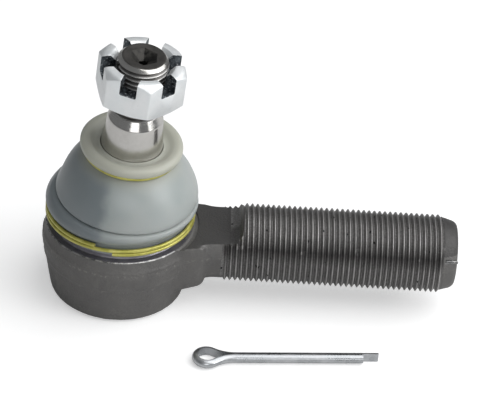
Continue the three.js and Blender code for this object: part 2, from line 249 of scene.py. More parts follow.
def swept(name, points, radius, profile=None, tips=0):
    wire, line = polyline(name, points)
    if tips:
        line.points[0].radius = line.points[-1].radius = tips
    wire.data.twist_mode = "Z_UP"
    wire.data.use_fill_caps = True
    if profile is None:
        wire.data.bevel_depth, wire.data.bevel_resolution = radius, 4
    else:
        wire.data.bevel_mode, wire.data.bevel_object = "OBJECT", profile
    alone(wire)
    bpy.ops.object.convert(target="MESH")
    if profile is not None:
        bpy.data.objects.remove(profile)
    edit(wire)
    mergeDoubles()
    normalsOut()
    done()
    return wire


def finished(piece, materials, smooth=35):
    edit(piece)
    mergeDoubles(0.0004 * mm)  # slivers that the cuts left
    bpy.ops.mesh.dissolve_degenerate(threshold=0.0004 * mm)
    done()
    bpy.ops.object.shade_smooth_by_angle(angle=math.radians(smooth))
    piece.data.materials.clear()
    for material in materials:
        piece.data.materials.append(material)
    return piece


def painted(piece, index, test):  # faces whose middle and normal pass take material number index
    for face in piece.data.polygons:
        if test(face.center, face.normal):
            face.material_index = index


# Node groups

def nodeGroup(name, inputs, outputs):
    tree = bpy.data.node_groups.new(name, "ShaderNodeTree")
    for label, kind, value in inputs:
        socket = tree.interface.new_socket(label, in_out="INPUT", socket_type=kind)
        if value is not None:
            socket.default_value = value
    for label, kind in outputs:
        tree.interface.new_socket(label, in_out="OUTPUT", socket_type=kind)
    return (tree, tree.nodes.new("NodeGroupInput").outputs,
            tree.nodes.new("NodeGroupOutput").inputs)


def math1(tree, operation, a, b=None, clamp=False):
    node = tree.nodes.new("ShaderNodeMath")
    node.operation = operation
    node.use_clamp = clamp
    for socket, value in zip(node.inputs, (a, b)):
        if isinstance(value, bpy.types.NodeSocket):
            tree.links.new(value, socket)
        elif value is not None:
            socket.default_value = value
    return node.outputs[0]


def ranged(tree, value, low, high, outLow=0.0, outHigh=1.0, kind="SMOOTHSTEP"):
    node = tree.nodes.new("ShaderNodeMapRange")
    node.interpolation_type = kind
    tree.links.new(value, node.inputs["Value"])
    for label, number in (("From Min", low), ("From Max", high),
                          ("To Min", outLow), ("To Max", outHigh)):
        if isinstance(number, bpy.types.NodeSocket):
            tree.links.new(number, node.inputs[label])
        else:
            node.inputs[label].default_value = number
    return node.outputs["Result"]


def noise(tree, vector, scale, detail=3.0, roughness=0.55):
    node = tree.nodes.new("ShaderNodeTexNoise")
    tree.links.new(vector, node.inputs["Vector"])
    for label, value in (("Scale", scale), ("Detail", detail), ("Roughness", roughness)):
        if isinstance(value, bpy.types.NodeSocket):
            tree.links.new(value, node.inputs[label])
        else:
            node.inputs[label].default_value = value
    return node.outputs["Fac"]


floatSocket, vectorSocket = "NodeSocketFloat", "NodeSocketVector"


def grainGroup():  # coarse blotches and fine grain, for any surface
    tree, given, made = nodeGroup("surfaceGrain", [
        ("Vector", vectorSocket, None), ("Blotch Scale", floatSocket, 200.0),
        ("Grain Scale", floatSocket, 2500.0)], [("Blotch", floatSocket), ("Grain", floatSocket)])
    blotch = noise(tree, given["Vector"], given["Blotch Scale"], 4.0)
    grain = noise(tree, given["Vector"], given["Grain Scale"], 2.0)
    tree.links.new(ranged(tree, blotch, 0.34, 0.66), made["Blotch"])
    tree.links.new(ranged(tree, grain, 0.3, 0.7), made["Grain"])
    return tree


def speckGroup():  # small scattered specks of trapped scale and dust
    tree, given, made = nodeGroup("specks", [
        ("Vector", vectorSocket, None), ("Scale", floatSocket, 500.0),
        ("Size", floatSocket, 0.12)], [("Mask", floatSocket)])
    cells = tree.nodes.new("ShaderNodeTexVoronoi")
    tree.links.new(given["Vector"], cells.inputs["Vector"])
    tree.links.new(given["Scale"], cells.inputs["Scale"])
    chance = noise(tree, given["Vector"], 330.0, 1.0)
    size = math1(tree, "MULTIPLY", ranged(tree, chance, 0.45, 0.7), given["Size"])
    mask = math1(tree, "LESS_THAN", cells.outputs["Distance"], size)
    tree.links.new(mask, made["Mask"])
    return tree


def bandGroup():  # 1 on a line where a value is at Centre, fading over Width, broken by noise
    tree, given, made = nodeGroup("brokenBand", [
        ("Value", floatSocket, 0.0), ("Centre", floatSocket, 0.0), ("Width", floatSocket, 0.001),
        ("Break", floatSocket, 0.0), ("Broken", floatSocket, 0.5)], [("Mask", floatSocket)])
    away = math1(tree, "ABSOLUTE", math1(tree, "SUBTRACT", given["Value"],
                                         given["Centre"]))
    near = math1(tree, "SUBTRACT", 1.0, math1(tree, "DIVIDE", away, given["Width"]), True)
    gate = ranged(tree, given["Break"], given["Broken"],
                  math1(tree, "ADD", given["Broken"], 0.08))
    tree.links.new(math1(tree, "MULTIPLY", near, gate), made["Mask"])
    return tree


def lineGroup():  # fine parallel tool marks along a value in metres
    tree, given, made = nodeGroup("toolMarks", [
        ("Value", floatSocket, 0.0), ("Vector", vectorSocket, None),
        ("Pitch", floatSocket, 0.0002)], [("Lines", floatSocket)])
    count = math1(tree, "DIVIDE", given["Value"], given["Pitch"])
    wander = noise(tree, given["Vector"], 600.0, 2.0)
    wave = math1(tree, "SINE", math1(tree, "ADD", math1(tree, "MULTIPLY", count, 2 * math.pi),
                                     math1(tree, "MULTIPLY", wander, 5.0)))
    share = noise(tree, given["Vector"], 900.0, 2.0)
    tree.links.new(math1(tree, "MULTIPLY", ranged(tree, wave, -1.0, 1.0, kind="LINEAR"),
                         ranged(tree, share, 0.3, 0.6, 0.35, 1.0)), made["Lines"])
    return tree


grain, specks, band, toolMarks = grainGroup(), speckGroup(), bandGroup(), lineGroup()


# Materials

class Finish:
    def __init__(self, name, turn=None, **constants):
        self.material = bpy.data.materials.new(name)
        self.material.use_nodes = True
        self.tree = self.material.node_tree
        self.shader = self.tree.nodes["Principled BSDF"]
        for label, value in constants.items():
            self.shader.inputs[label.replace("_", " ")].default_value = value
        place = self.tree.nodes.new("ShaderNodeTexCoord")
        self.vector = place.outputs["Object"]
        if turn is not None:  # the pattern's Z follows a turned axis through a point
            origin = self.sub(self.vector, turn.to_translation())
            rotate = self.tree.nodes.new("ShaderNodeVectorRotate")
            rotate.rotation_type = "EULER_XYZ"
            rotate.inputs["Rotation"].default_value = turn.inverted().to_euler()
            self.tree.links.new(origin, rotate.inputs["Vector"])
            self.vector = rotate.outputs["Vector"]
        split = self.tree.nodes.new("ShaderNodeSeparateXYZ")
        self.tree.links.new(self.vector, split.inputs[0])
        self.x, self.y, self.z = split.outputs

    def sub(self, vector, amount):
        node = self.tree.nodes.new("ShaderNodeVectorMath")
        node.operation = "SUBTRACT"
        self.tree.links.new(vector, node.inputs[0])
        node.inputs[1].default_value = amount
        return node.outputs["Vector"]

    def use(self, group, **values):
        node = self.tree.nodes.new("ShaderNodeGroup")
        node.node_tree = group
        for label, value in values.items():
            socket = node.inputs[label.replace("_", " ")]
            if isinstance(value, bpy.types.NodeSocket):
                self.tree.links.new(value, socket)
            else:
                socket.default_value = value
        return node.outputs

    def mix(self, factor, a, b):
        node = self.tree.nodes.new("ShaderNodeMix")
        node.data_type = "RGBA"
        slots = [s for s in node.inputs if s.type == "RGBA"]
        self.tree.links.new(factor, node.inputs[0])
        for socket, value in zip(slots, (a, b)):
            if isinstance(value, bpy.types.NodeSocket):
                self.tree.links.new(value, socket)
            else:
                socket.default_value = (*value, 1.0)
        return [s for s in node.outputs if s.type == "RGBA"][0]

    def radius(self, a, b, centre=0.0):  # distance from an axis in two coordinates
        b = math1(self.tree, "SUBTRACT", b, centre) if centre else b
        return math1(self.tree, "SQRT", math1(self.tree, "ADD", math1(self.tree, "MULTIPLY", a, a),
                                              math1(self.tree, "MULTIPLY", b, b)))

    def bump(self, height, strength, distance):
        node = self.tree.nodes.new("ShaderNodeBump")
        node.inputs["Strength"].default_value = strength
        node.inputs["Distance"].default_value = distance
        self.tree.links.new(height, node.inputs["Height"])
        self.tree.links.new(node.outputs["Normal"], self.shader.inputs["Normal"])

    def paint(self, color=None, roughness=None, metallic=None):
        for label, value in (("Base Color", color), ("Roughness", roughness),
                             ("Metallic", metallic)):
            if value is not None:
                self.tree.links.new(value, self.shader.inputs[label])
        return self.material


def forgedSteel():
    look = Finish("forgedSteel", Metallic=0.5)
    skin = look.use(grain, Vector=look.vector, Blotch_Scale=170.0, Grain_Scale=1900.0)
    color = look.mix(skin["Blotch"], (0.115, 0.112, 0.11), (0.175, 0.17, 0.164))
    color = look.mix(skin["Grain"], color, (0.14, 0.137, 0.133))
    stretch = look.tree.nodes.new("ShaderNodeMapping")
    stretch.inputs["Scale"].default_value = (1, 1, 0.16)
    look.tree.links.new(look.vector, stretch.inputs["Vector"])
    drawn = noise(look.tree, stretch.outputs["Vector"], 520.0, 3.0)
    color = look.mix(ranged(look.tree, drawn, 0.52, 0.8), color, (0.16, 0.156, 0.15))
    wander = noise(look.tree, look.vector, 1300.0, 3.0)
    lift = math1(look.tree, "ADD", look.z, math1(look.tree, "MULTIPLY", wander, 1.4 * mm))
    for centre, broken in ((shankZ + 1.8 * mm, 0.53), (shankZ - 4.1 * mm, 0.57)):
        scuff = look.use(band, Value=lift, Centre=centre, Width=0.5 * mm, Break=wander,
                         Broken=broken)
        color = look.mix(scuff["Mask"], color, (0.24, 0.23, 0.215))
    dust = look.use(specks, Vector=look.vector, Scale=420.0, Size=0.13)
    color = look.mix(dust["Mask"], color, (0.17, 0.165, 0.155))
    flatZ = shankZ + housingSizes["flatAboveAxis"]
    # painted shade: the neck's milled top flat is coloured darker
    flatPaintedShade = ranged(look.tree, look.z, flatZ - 0.15 * mm, flatZ - 0.02 * mm)
    color = look.mix(flatPaintedShade, color, (0.075, 0.073, 0.072))
    rough = ranged(look.tree, skin["Blotch"], 0.0, 1.0, 0.5, 0.66)
    look.bump(skin["Grain"], 0.35, 0.12 * mm)
    return look.paint(color, rough)


def turnedSteel():
    look = Finish("turnedSteel", Metallic=0.8)
    skin = look.use(grain, Vector=look.vector, Blotch_Scale=260.0, Grain_Scale=2600.0)
    reach = look.radius(look.x, look.y)
    marks = look.use(toolMarks, Value=math1(look.tree, "ADD", reach, look.z), Vector=look.vector,
                     Pitch=0.22 * mm)
    color = look.mix(skin["Blotch"], (0.22, 0.21, 0.25), (0.31, 0.3, 0.345))
    color = look.mix(marks["Lines"], color, (0.34, 0.335, 0.36))
    look.bump(marks["Lines"], 0.25, 0.05 * mm)
    return look.paint(color, ranged(look.tree, skin["Grain"], 0.0, 1.0, 0.36, 0.52))


def rimSteel():
    look = Finish("rimSteel", Metallic=0.95)
    wear = noise(look.tree, look.vector, 500.0, 3.0)
    color = look.mix(ranged(look.tree, wear, 0.42, 0.6), (0.22, 0.22, 0.22), (0.5, 0.495, 0.49))
    return look.paint(color, ranged(look.tree, wear, 0.3, 0.7, 0.22, 0.4))


def threadSteel():
    look = Finish("threadSteel", Metallic=0.85)
    skin = look.use(grain, Vector=look.vector, Blotch_Scale=150.0, Grain_Scale=2400.0)
    reach = look.radius(look.y, look.z, shankZ)
    crest = ranged(look.tree, reach, shankThread["radius"] - 0.12 * mm,
                   shankThread["radius"] - 0.02 * mm)
    worn = math1(look.tree, "MULTIPLY", crest,
                 ranged(look.tree, skin["Blotch"], 0.0, 1.0, 0.45, 0.9))
    color = look.mix(skin["Grain"], (0.165, 0.16, 0.158), (0.27, 0.264, 0.26))
    color = look.mix(worn, color, (0.52, 0.51, 0.5))
    # painted shade: a darker band with a wobbly edge along the upper front of the threads
    wander = noise(look.tree, look.vector, 260.0, 3.0)
    height = math1(look.tree, "ADD", look.z, math1(look.tree, "MULTIPLY", wander, 1.6 * mm))
    frontShadeBand = look.use(band, Value=height, Centre=shankZ + 5.2 * mm, Width=3.8 * mm, Break=wander,
                     Broken=0.3)
    front = ranged(look.tree, look.y, 0.0, -2 * mm)
    frontPaintedShade = math1(look.tree, "MULTIPLY", math1(look.tree, "MULTIPLY", frontShadeBand["Mask"], front), 0.75)
    color = look.mix(frontPaintedShade, color, (0.05, 0.048, 0.047))
    dust = look.use(specks, Vector=look.vector, Scale=330.0, Size=0.17)
    color = look.mix(dust["Mask"], color, (0.02, 0.02, 0.02))
    look.bump(skin["Grain"], 0.2, 0.05 * mm)
    return look.paint(color, ranged(look.tree, worn, 0.0, 1.0, 0.5, 0.34))


def grained(name, scales, dark, light, bump, **constants):
    look = Finish(name, **constants)
    skin = look.use(grain, Vector=look.vector, Blotch_Scale=scales[0], Grain_Scale=scales[1])
    look.bump(skin["Grain"], bump[0], bump[1] * mm)
    return look, skin, look.mix(skin["Blotch"], dark, light)


def plainFinish(name, scales, dark, light, bump, rough, **constants):
    look, skin, color = grained(name, scales, dark, light, bump, **constants)
    return look.paint(color, ranged(look.tree, skin["Blotch"], 0.0, 1.0, *rough))


def zincPlate():
    look, skin, color = grained("zincPlate", (140.0, 1500.0), (0.86, 0.89, 0.9),
                                (0.93, 0.945, 0.95), (0.12, 0.04), Metallic=0.72)
    spots = look.use(specks, Vector=look.vector, Scale=620.0, Size=0.12)
    return look.paint(look.mix(spots["Mask"], color, (0.7, 0.73, 0.75)),
                      ranged(look.tree, skin["Blotch"], 0.0, 1.0, 0.42, 0.54))


def slotSteel():
    look, skin, color = grained("slotSteel", (520.0, 1500.0), (0.035, 0.04, 0.047),
                                (0.15, 0.17, 0.185), (0.6, 0.14), Metallic=0.9)
    bright = ranged(look.tree, skin["Grain"], 0.78, 1.0)
    return look.paint(look.mix(bright, color, (0.5, 0.53, 0.55)),
                      ranged(look.tree, skin["Blotch"], 0.0, 1.0, 0.35, 0.6))


def pinSteel():
    return plainFinish("pinSteel", (230.0, 1800.0), (0.4, 0.415, 0.43), (0.56, 0.57, 0.585),
                       (0.15, 0.04), (0.26, 0.4), Metallic=1.0)


def socketSteel():
    return plainFinish("socketSteel", (700.0, 2200.0), (0.012, 0.012, 0.011),
                       (0.06, 0.057, 0.052), (0.3, 0.06), (0.4, 0.6), Metallic=0.6)


def ringWire():
    return plainFinish("ringWire", (300.0, 1800.0), (0.42, 0.4, 0.07), (0.62, 0.58, 0.16),
                       (0.1, 0.03), (0.3, 0.42), Metallic=0.45, Coat_Weight=0.3)


def bearingPlastic():
    return plainFinish("bearingPlastic", (90.0, 1300.0), (0.66, 0.64, 0.57), (0.74, 0.72, 0.66),
                       (0.08, 0.04), (0.38, 0.5), Subsurface_Weight=0.1, Subsurface_Scale=0.002)


def springSteel():
    return plainFinish("springSteel", (220.0, 1900.0), (0.09, 0.1, 0.12), (0.17, 0.17, 0.18),
                       (0.15, 0.03), (0.3, 0.42), Metallic=0.95)


def groundSteel():
    look = Finish("groundSteel", turn=studPlace, Metallic=1.0)
    marks = look.use(toolMarks, Value=look.z, Vector=look.vector, Pitch=0.13 * mm)
    skin = look.use(grain, Vector=look.vector, Blotch_Scale=120.0, Grain_Scale=2600.0)
    color = look.mix(skin["Blotch"], (0.52, 0.505, 0.48), (0.6, 0.585, 0.56))
    color = look.mix(marks["Lines"], color, (0.66, 0.65, 0.63))
    look.bump(marks["Lines"], 0.08, 0.02 * mm)
    return look.paint(color, ranged(look.tree, skin["Grain"], 0.0, 1.0, 0.13, 0.22))


def studThreadSteel():
    look = Finish("studThreadSteel", turn=studPlace, Metallic=0.95)
    reach = look.radius(look.x, look.y)
    skin = look.use(grain, Vector=look.vector, Blotch_Scale=260.0, Grain_Scale=2400.0)
    crest = ranged(look.tree, reach, stud["threadRadius"] - 0.4 * mm,
                   stud["threadRadius"] - 0.03 * mm)
    color = look.mix(skin["Blotch"], (0.11, 0.105, 0.1), (0.19, 0.185, 0.18))
    color = look.mix(crest, color, (0.55, 0.54, 0.53))
    look.bump(skin["Grain"], 0.2, 0.04 * mm)
    return look.paint(color, ranged(look.tree, crest, 0.0, 1.0, 0.38, 0.24))


def studTipSteel():
    look = Finish("studTipSteel", turn=studPlace, Metallic=0.8)
    reach = look.radius(look.x, look.y)
    marks = look.use(toolMarks, Value=reach, Vector=look.vector, Pitch=0.3 * mm)
    skin = look.use(grain, Vector=look.vector, Blotch_Scale=300.0, Grain_Scale=2200.0)
    color = look.mix(skin["Blotch"], (0.05, 0.048, 0.045), (0.085, 0.08, 0.076))
    color = look.mix(marks["Lines"], color, (0.1, 0.096, 0.09))
    look.bump(marks["Lines"], 0.25, 0.04 * mm)
    return look.paint(color, ranged(look.tree, skin["Grain"], 0.0, 1.0, 0.42, 0.55))


def bootPlastic():
    look = Finish("bootPlastic", turn=studPlace, Subsurface_Weight=0.35, Subsurface_Scale=0.004,
                  Subsurface_Radius=(1.0, 0.95, 0.85), IOR=1.5, Coat_Weight=0.0)
    skin = look.use(grain, Vector=look.vector, Blotch_Scale=55.0, Grain_Scale=900.0)
    body = look.mix(skin["Blotch"], (0.34, 0.375, 0.37), (0.385, 0.41, 0.4))
    # painted shade: the left front of the boot is darkened, with a blotchy edge
    shadeEdgeX = math1(look.tree, "ADD", look.x, math1(look.tree, "MULTIPLY", skin["Blotch"], 4 * mm))
    sidePaintedShade = math1(look.tree, "MULTIPLY", ranged(look.tree, shadeEdgeX, -3.2 * mm, -6.8 * mm, 0.0, 0.65),
                  ranged(look.tree, look.y, 9 * mm, 2 * mm))
    body = look.mix(sidePaintedShade, body, (0.12, 0.145, 0.165))  # painted shade on its left front side
    fold = foldZ - ballCentre.z
    # painted shade on the skirt just under the dome's fold
    body = look.mix(ranged(look.tree, look.z, fold + 0.5 * mm, fold - 2 * mm, 0.0, 0.4), body,
                    (0.12, 0.14, 0.155))
    cream = ranged(look.tree, look.z, boot["creamFrom"], boot["creamTo"])
    color = look.mix(cream, body, (0.44, 0.445, 0.385))
    look.bump(skin["Grain"], 0.05, 0.05 * mm)
    return look.paint(color, ranged(look.tree, skin["Blotch"], 0.0, 1.0, 0.3, 0.4))


# Camera, floor and light

view = {
    "azimuth": -2.9, "elevation": 35.0, "roll": 5.1,
    "target": ballCentre + Vector((35.8, 0, 12.6)) * mm,
    "distance": 0.72, "lens": 186.1,
}


def addCamera():
    a, e = math.radians(view["azimuth"]), math.radians(view["elevation"])
    back = Vector((math.sin(a) * math.cos(e), -math.cos(a) * math.cos(e), math.sin(e)))
    bpy.ops.object.camera_add(location=view["target"] + back * view["distance"],
                              rotation=(math.pi / 2 - e, 0, a))
    camera = bpy.context.object
    camera.rotation_euler.rotate_axis("Z", math.radians(view["roll"]))
    camera.data.lens = view["lens"]
    camera.data.sensor_width = 36
    camera.data.clip_start, camera.data.clip_end = 0.01, 20
    scene.camera = camera


def addLight(name, place, size, power, tint=(1, 1, 1)):
    bpy.ops.object.light_add(type="AREA", location=place)
    lamp = bpy.context.object
    lamp.name = name
    lamp.data.shape = "RECTANGLE"
    lamp.data.size, lamp.data.size_y = size
    lamp.data.energy = power
    lamp.data.color = tint
    aim = Vector((0.03, 0, 0.03)) - Vector(place)
    lamp.rotation_euler = aim.to_track_quat("-Z", "Y").to_euler()


def addStage():
    bpy.ops.mesh.primitive_plane_add(size=6, location=(0, 0, -0.0002))
    floor = bpy.context.object
    floor.name = "floor"
    paper = Finish("floorPaper", Roughness=0.95)
    tone = noise(paper.tree, paper.vector, 3.0, 2.0)
    floor.data.materials.append(paper.paint(paper.mix(tone, (0.78, 0.78, 0.78),
                                                      (0.8, 0.8, 0.8))))
    path = paper.tree.nodes.new("ShaderNodeLightPath")
    paper.shader.inputs["Emission Color"].default_value = (1, 1, 1, 1)
    paper.tree.links.new(math1(paper.tree, "MULTIPLY", path.outputs["Is Camera Ray"], 0.42),
                         paper.shader.inputs["Emission Strength"])
    addLight("overhead", (0.55, -0.05, 0.85), (1.3, 1.3), 10.5)
    addLight("side", (0.9, -0.3, 0.4), (0.45, 0.45), 2.0)
    addLight("front", (0.05, -1.0, 0.5), (0.6, 0.5), 2.1)
    world = scene.world or bpy.data.worlds.new("studio")
    scene.world = world
    world.use_nodes = True
    world.node_tree.nodes["Background"].inputs["Color"].default_value = (0.8, 0.82, 0.84, 1)
    world.node_tree.nodes["Background"].inputs["Strength"].default_value = 0.24
    scene.view_settings.view_transform = "Standard"


addCamera()
addStage()
print("camera, floor and light are in place")


# Housing

housingSizes = {
    "baseRound": 1.8 * mm, "draft": 10.0, "flatAboveAxis": 5.2 * mm, "bossRadius": 18.4 * mm,
    "bossChamfer": 0.5 * mm, "ledge": 2.3 * mm, "boreRadius": 15.5 * mm, "rolledLip": 0.9 * mm,
    "seatRadius": 12.8 * mm,
    "gussetEnd": 24.5 * mm, "gussetFront": 11.4 * mm, "gussetBack": 9.6 * mm,
    "gussetDepth": 9.1 * mm, "gussetSpread": 1.24, "gussetDrop": 3.1 * mm,
    "gussetRound": 3.6 * mm, "endRound": 1.9 * mm, "neckSwell": 0.7 * mm,
    "scarLow": -4.2 * mm, "scarHigh": 1.8 * mm, "scarHeight": 0.35 * mm, "boreStep": 1.9 * mm,
    "waistRadius": 10.4 * mm, "threadStart": 29.6 * mm, "runOut": 5.0 * mm, "voxel": 0.42 * mm,
}
shankThread = {
    "radius": 11.0 * mm, "pitch": 1.5 * mm, "depth": 0.92 * mm, "nose": 4.1 * mm,
    "noseRadius": 9.1 * mm, "flashTurn": 22.0,
}


def alongShank(piece):
    return placed(piece, Matrix.Translation((0, 0, shankZ)) @ Matrix.Rotation(math.pi / 2, 4, "Y"))


def forgedBody():
    size = housingSizes
    slope = math.tan(math.radians(size["draft"]))
    parting = -housingLow.x
    top = housingHigh.z

    def side(rise, out=0.0, ease=0.0):  # a point of the drafted side, from the parting plane
        return (parting - abs(rise) * slope + out, shankZ + rise, ease)

    def scar(rise):  # a low ridge that the worn die leaves round the side
        return [side(rise - 0.4 * mm), side(rise, size["scarHeight"]), side(rise + 0.6 * mm)]

    body = spun("housing", [
        (0, 0, 0), side(-shankZ, ease=size["baseRound"]), *scar(size["scarLow"]),
        (parting, shankZ - 0.4 * mm, 0.6 * mm), (parting, shankZ + 0.4 * mm, 0.6 * mm),
        (parting - 1.3 * mm * slope, shankZ + 1.4 * mm, 0), *scar(size["scarHigh"])[1:],
        side(top - shankZ), (0, top, 0)], 96)
    long = size["gussetEnd"] - size["bossRadius"] * 0.6
    deep = size["gussetDepth"] + size["flatAboveAxis"]
    middle = size["gussetEnd"] - long / 2
    gusset = block((long, size["gussetFront"] + size["gussetBack"], deep),
                   (middle, (size["gussetBack"] - size["gussetFront"]) / 2,
                    shankZ + size["flatAboveAxis"] - deep / 2))
    edit(gusset)
    keepVerts(gusset, lambda co: co.x < middle)
    bpy.ops.transform.resize(value=(1, size["gussetSpread"], 1))
    keepVerts(gusset, lambda co: co.x < middle and co.z < shankZ)
    bpy.ops.transform.translate(value=(0, 0, -size["gussetDrop"]))
    bpy.ops.mesh.select_mode(type="EDGE")
    roundEdges(gusset, size["gussetRound"], 6, lambda a, b: (
        max(a.z, b.z) < shankZ and abs(a.y - b.y) < 3 * mm))
    roundEdges(gusset, size["endRound"], 5, lambda a, b: (
        min(a.x, b.x) > size["gussetEnd"] - 0.01 * mm))
    done()
    joined(body, gusset, "UNION")
    waist, neck = size["waistRadius"], size["waistRadius"] + size["neckSwell"]
    end, far = size["gussetEnd"], size["threadStart"] + 1.0 * mm
    joined(body, alongShank(spun("waist", [
        (0, 2 * mm, 0), (neck, 2 * mm, 0), (neck, end - 1 * mm, 0),
        (waist, end + 1.6 * mm, 2 * mm), (waist, far, 0), (0, far, 0)], 96)), "UNION")
    applied(body, "REMESH", mode="VOXEL", voxel_size=size["voxel"])
    applied(body, "SMOOTH", factor=0.5, iterations=5)
    return body


def roughened(piece, name, scale, strength):
    skin = bpy.data.textures.new(name, "CLOUDS")
    skin.noise_scale, skin.noise_depth = scale, 3
    applied(piece, "DISPLACE", texture=skin, strength=strength, mid_level=0.5,
            texture_coords="LOCAL")


def machinedAway(body):
    size = housingSizes
    shoulder = shankZ + size["flatAboveAxis"]
    rim = size["bossRadius"] + size["ledge"]
    boss, top, far = size["bossRadius"], housingHigh.z, 40 * mm
    over = top + 6 * mm
    turning = spun("turning", [
        (far, shoulder, 0), (far, over, 0), (0, over, 0), (0, top, 0),
        (boss - size["bossChamfer"], top, 0), (boss, top - size["bossChamfer"], 0),
        (boss, shoulder + 0.3 * mm, 0.3 * mm), (boss + 0.3 * mm, shoulder, 0),
        (far, shoulder, 0)], 160)
    wide = 70 * mm  # the tool only reaches as far as the neck's flat is milled
    reach = block((wide, wide, wide), (size["threadStart"] - wide / 2 - 2 * mm, 0, shankZ))
    joined(turning, reach, "INTERSECT")
    joined(body, turning, "DIFFERENCE")
    inside, outside = rim - 0.28 * mm, rim + 1.5 * mm
    under, over = shoulder - 0.45 * mm, shoulder + 0.2 * mm
    edge = spun("edgeBreak", [
        (inside, over, 0), (inside, shoulder + 0.001 * mm, 0), (rim + 0.4 * mm, under, 0),
        (outside, under, 0), (outside, over, 0), (inside, over, 0)], 150, 280)
    placed(edge, Matrix.Rotation(math.radians(40), 4, "Z"))
    joined(body, edge, "DIFFERENCE")
    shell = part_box("upper_bearing")
    roof = shell[1].z + 0.3 * mm
    mouth = math.sqrt(size["seatRadius"] ** 2 - (shell[1].z - ballCentre.z) ** 2) + 0.8 * mm
    lip, bore = size["rolledLip"], size["boreRadius"]
    step = bore - size["boreStep"]
    cavity = spun("cavity", [
        (0, -1 * mm, 0), (bore - 1.2 * mm, -1 * mm, 0), (step, 0.1 * mm, 0.3 * mm),
        (step, lip, 0.25 * mm), (bore, lip, 0), (bore, roof, 0), (mouth, roof, 0.2 * mm),
        (mouth + 1 * mm, top, 0), (mouth + 1 * mm, top + 1 * mm, 0), (0, top + 1 * mm, 0)], 128)
    joined(body, cavity, "DIFFERENCE")
    return body


def threadedShank():
    size, cut = housingSizes, shankThread
    crest, small = cut["radius"], cut["noseRadius"]
    tip = housingHigh.x
    nose = tip - cut["nose"]
    root = crest - cut["depth"]
    start = size["threadStart"]
    rod = thread("rod", crest, cut["depth"], cut["pitch"], start - 3 * mm,
                 nose - start + 5 * mm, 64)
    blank = spun("blank", [
        (0, start - 1 * mm, 0), (size["waistRadius"] - 0.3 * mm, start - 1 * mm, 0),
        (crest + 0.4 * mm, start + 1.2 * mm, 0), (crest + 0.4 * mm, nose - 1 * mm, 0),
        (root - 0.5 * mm, nose + 0.6 * mm, 0), (0, nose + 0.6 * mm, 0)], 96)
    joined(rod, blank, "INTERSECT")
    core = spun("core", [
        (0, start - 0.6 * mm, 0), (root - 0.35 * mm, start - 0.6 * mm, 0),
        (root - 0.35 * mm, nose - 0.8 * mm, 0), (root + 0.25 * mm, nose, 0.5 * mm),
        (small + 0.3 * mm, tip - 0.9 * mm, 1.0 * mm),
        (small - 0.6 * mm, tip, 0.5 * mm), (0, tip - 0.15 * mm, 0)], 96)
    joined(rod, core, "UNION")
    for turn in (-90 - cut["flashTurn"], 90 + cut["flashTurn"]):  # trimmed flash, both sides
        ridge = block((1.2 * mm, 0.8 * mm, cut["nose"] - 0.5 * mm))
        applied(ridge, "BEVEL", width=0.2 * mm, segments=3)
        lean = math.atan((root - small) / cut["nose"])
        middle = (root + small) / 2 - 0.2 * mm
        joined(rod, placed(ridge, Matrix.Rotation(math.radians(turn), 4, "Z")
                           @ Matrix.Translation((middle, 0, tip - cut["nose"] / 2 + 0.3 * mm))
                           @ Matrix.Rotation(-lean, 4, "Y")), "UNION")
    return alongShank(rod)


def flatMilled(body):
    size = housingSizes
    shoulder = shankZ + size["flatAboveAxis"]
    turn = size["runOut"]
    start = size["threadStart"] - 4 * mm
    outline = eased([(start, shoulder, 0), (size["threadStart"] + turn, shoulder, turn),
                     (size["threadStart"] + turn, shoulder + 12 * mm, 0),
                     (start, shoulder + 12 * mm, 0), (start, shoulder, 0)], 10)
    cutter = traced("cutter", outline)
    mergeDoubles()
    bpy.ops.transform.translate(value=(0, -15 * mm, 0))
    selectAll()
    bpy.ops.mesh.edge_face_add()
    bpy.ops.mesh.extrude_region_move(TRANSFORM_OT_translate={"value": (0, 30 * mm, 0)})
    normalsOut()
    done()
    return joined(body, cutter, "DIFFERENCE")


def housing():
    size = housingSizes
    body = forgedBody()
    roughened(body, "forgingSkin", 3.2 * mm, 0.16 * mm)
    roughened(body, "forgingGrain", 0.9 * mm, 0.05 * mm)
    machinedAway(body)
    joined(body, threadedShank(), "UNION")
    flatMilled(body)
    shoulder = shankZ + size["flatAboveAxis"]
    rim = size["bossRadius"] + size["ledge"]
    finished(body, [forgedSteel(), turnedSteel(), rimSteel(), threadSteel()], 32)
    painted(body, 1, lambda at, n: math.hypot(at.x, at.y) < rim and
            (at.z > shoulder - 0.02 * mm or at.z < 0.02 * mm
             or math.hypot(at.x, at.y) < size["boreRadius"] + 0.05 * mm))
    painted(body, 2, lambda at, n: rim - 0.3 * mm < math.hypot(at.x, at.y) < rim + 0.5 * mm
            and shoulder - 0.5 * mm < at.z < shoulder - 0.01 * mm and n.z > 0.4 and at.x < 16 * mm)
    nose = housingHigh.x - shankThread["nose"]
    painted(body, 3, lambda at, n: size["threadStart"] - 0.9 * mm < at.x < nose + 0.1 * mm
            and not (at.x < size["threadStart"] + size["runOut"] and n.z > 0.99
                     and abs(at.z - shoulder) < 0.05 * mm))
    flash = shankThread["flashTurn"]
    painted(body, 2, lambda at, n: at.x > nose + 0.5 * mm and abs(flash - math.degrees(
        math.atan2(at.z - shankZ, abs(at.y)))) < 2.9)
    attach(body, "housing")
    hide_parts("housing")
    print("housing has", len(body.data.polygons), "faces")


# Stud

